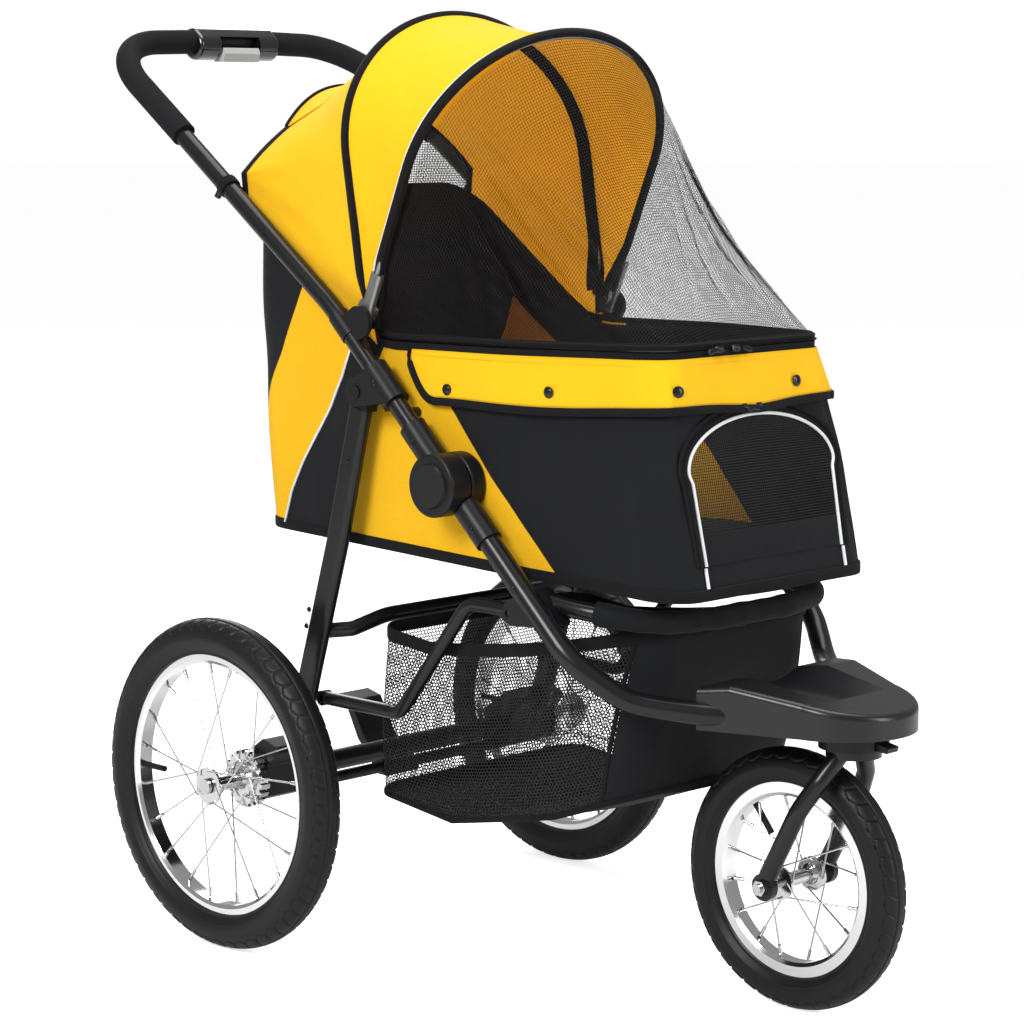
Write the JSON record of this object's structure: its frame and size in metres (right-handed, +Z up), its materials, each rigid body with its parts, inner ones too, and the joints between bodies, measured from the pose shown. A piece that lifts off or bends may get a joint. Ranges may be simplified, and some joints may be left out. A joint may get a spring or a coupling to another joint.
{
  "type": "pet stroller",
  "caption": "Three-wheeled folding pet stroller with a fabric cabin, mesh window, canopy, storage basket, spoked wheels and foam-gripped handle.",
  "frame": {"origin": "on the floor, at the centre of the stroller's bounding box", "axes": "+X towards the front wheel, +Y to the stroller's left, +Z up"},
  "size_m": [1.1036, 0.628, 1.0842],
  "materials": {
    "frame_paint": "satin black powder coat",
    "moulded_black": "fine-grained black moulding",
    "cover_black": "satin black moulding",
    "housing_gloss": "polished black",
    "cap_black": "satin",
    "foam": "closed-cell foam skin",
    "trigger_grey": "light grey",
    "rivet": "black oxide",
    "steel": "bright",
    "spoke_steel": "galvanised",
    "rim_alloy": "polished",
    "hub_alloy": "turned",
    "tyre": "treaded rubber",
    "tube_rubber": "butyl rubber",
    "fabric_yellow": "plain weave polyester",
    "fabric_black": "plain weave polyester",
    "mesh_black": "open mesh",
    "hoop_steel": "black",
    "board": "fabric-covered board"
  },
  "bodies": {
    "chassis": {"front_tube_right": "frame_paint", "front_tube_left": "frame_paint", "lower_hub_right": "moulded_black", "lower_hub_left": "moulded_black", "frame_fasteners": "rivet", "basket_rail": "frame_paint", "rail_brackets": "moulded_black", "nose_cover": "cover_black", "swivel_housing": "moulded_black", "cabin": "fabric_yellow", "cabin_floor": "board", "cabin_mat": "fabric_black", "basket": "mesh_black"},
    "handle_frame": {"handle_tube": "frame_paint", "grip_right": "foam", "grip_left": "foam", "handle_housing": "housing_gloss", "upper_hub_right": "moulded_black", "upper_hub_left": "moulded_black", "hub_caps": "cap_black", "leg_brackets": "moulded_black", "canopy_mounts": "moulded_black", "fabric_studs": "rivet", "handle_fasteners": "rivet", "rear_hoop": "hoop_steel", "canopy": "fabric_yellow"},
    "front_bow": {"front_hoop": "hoop_steel", "canopy_window": "mesh_black"},
    "trigger": {"release_trigger": "trigger_grey"},
    "rear_frame": {"rear_leg_right": "frame_paint", "rear_leg_left": "frame_paint", "leg_plugs": "moulded_black", "rear_feet": "moulded_black", "axle_tube": "frame_paint", "rear_axle": "steel", "rear_crossbar": "frame_paint", "leg_rivets": "rivet"},
    "brake": {"brake_pedal": "moulded_black"},
    "links": {"link_bar_right": "frame_paint", "link_bar_left": "frame_paint", "link_ends": "moulded_black"},
    "wheel_right": {"wheel_right_tyre": "tyre", "wheel_right_rim": "rim_alloy", "wheel_right_inner_tube": "tube_rubber", "wheel_right_hub": "hub_alloy", "wheel_right_spokes": "spoke_steel"},
    "wheel_left": {"wheel_left_tyre": "tyre", "wheel_left_rim": "rim_alloy", "wheel_left_inner_tube": "tube_rubber", "wheel_left_hub": "hub_alloy", "wheel_left_spokes": "spoke_steel"},
    "caster": {"fork": "frame_paint", "front_axle": "steel"},
    "front_wheel": {"front_wheel_tyre": "tyre", "front_wheel_rim": "rim_alloy", "front_wheel_inner_tube": "tube_rubber", "front_wheel_hub": "hub_alloy", "front_wheel_spokes": "spoke_steel"},
    "lock_lever": {"swivel_lock": "moulded_black"},
    "door": {"front_door": "mesh_black"}
  },
  "joints": [
    {"name": "fold", "type": "hinge", "parent": "chassis", "child": "handle_frame", "pos_m": [0.08, 0, 0.567], "axis": [0, 1, 0], "range_deg": [0, 110], "deforming": ["cabin", "cabin_floor", "cabin_mat", "canopy", "canopy_window", "basket", "front_door"]},
    {"name": "leg_fold", "type": "hinge", "parent": "handle_frame", "child": "rear_frame", "pos_m": [-0.057, 0, 0.66], "axis": [0, 1, 0], "range_deg": [-50.55, 0]},
    {"name": "link_fold", "type": "hinge", "parent": "chassis", "child": "links", "pos_m": [0.168, 0, 0.433], "axis": [0, 1, 0], "range_deg": [0, 50]},
    {"name": "bow_fold", "type": "hinge", "parent": "handle_frame", "child": "front_bow", "pos_m": [-0.062, 0, 0.737], "axis": [0, 1, 0], "range_deg": [-28, 0], "deforming": ["canopy_window", "canopy"]},
    {"name": "release_squeeze", "type": "slide", "parent": "handle_frame", "child": "trigger", "axis": [0.5888, 0, 0.8083], "range_m": [0, 0.004], "stiffness_N_per_m": 900},
    {"name": "brake_press", "type": "hinge", "parent": "rear_frame", "child": "brake", "pos_m": [-0.228, 0, 0.171], "axis": [0, 1, 0], "range_deg": [-22, 0]},
    {"name": "wheel_right_spin", "type": "hinge", "parent": "rear_frame", "child": "wheel_right", "pos_m": [-0.22, -0.287, 0.195], "axis": [0, 1, 0], "continuous": true},
    {"name": "wheel_left_spin", "type": "hinge", "parent": "rear_frame", "child": "wheel_left", "pos_m": [-0.22, 0.287, 0.195], "axis": [0, 1, 0], "continuous": true},
    {"name": "caster_swivel", "type": "hinge", "parent": "chassis", "child": "caster", "pos_m": [0.484, 0, 0.3], "axis": [0, 0, 1], "continuous": true},
    {"name": "front_wheel_spin", "type": "hinge", "parent": "caster", "child": "front_wheel", "pos_m": [0.407, 0, 0.145], "axis": [0, 1, 0], "continuous": true},
    {"name": "lock_lift", "type": "hinge", "parent": "chassis", "child": "lock_lever", "pos_m": [0.516, 0, 0.309], "axis": [0, 1, 0], "range_deg": [-18, 0]},
    {"name": "door_drop", "type": "hinge", "parent": "chassis", "child": "door", "pos_m": [0.373, 0, 0.499], "axis": [0, 1, 0], "range_deg": [0, 95]}
  ],
  "couplings": [
    {"joint": "leg_fold", "follows": "fold", "ratio": -0.455},
    {"joint": "link_fold", "follows": "fold", "ratio": 0.45}
  ]
}
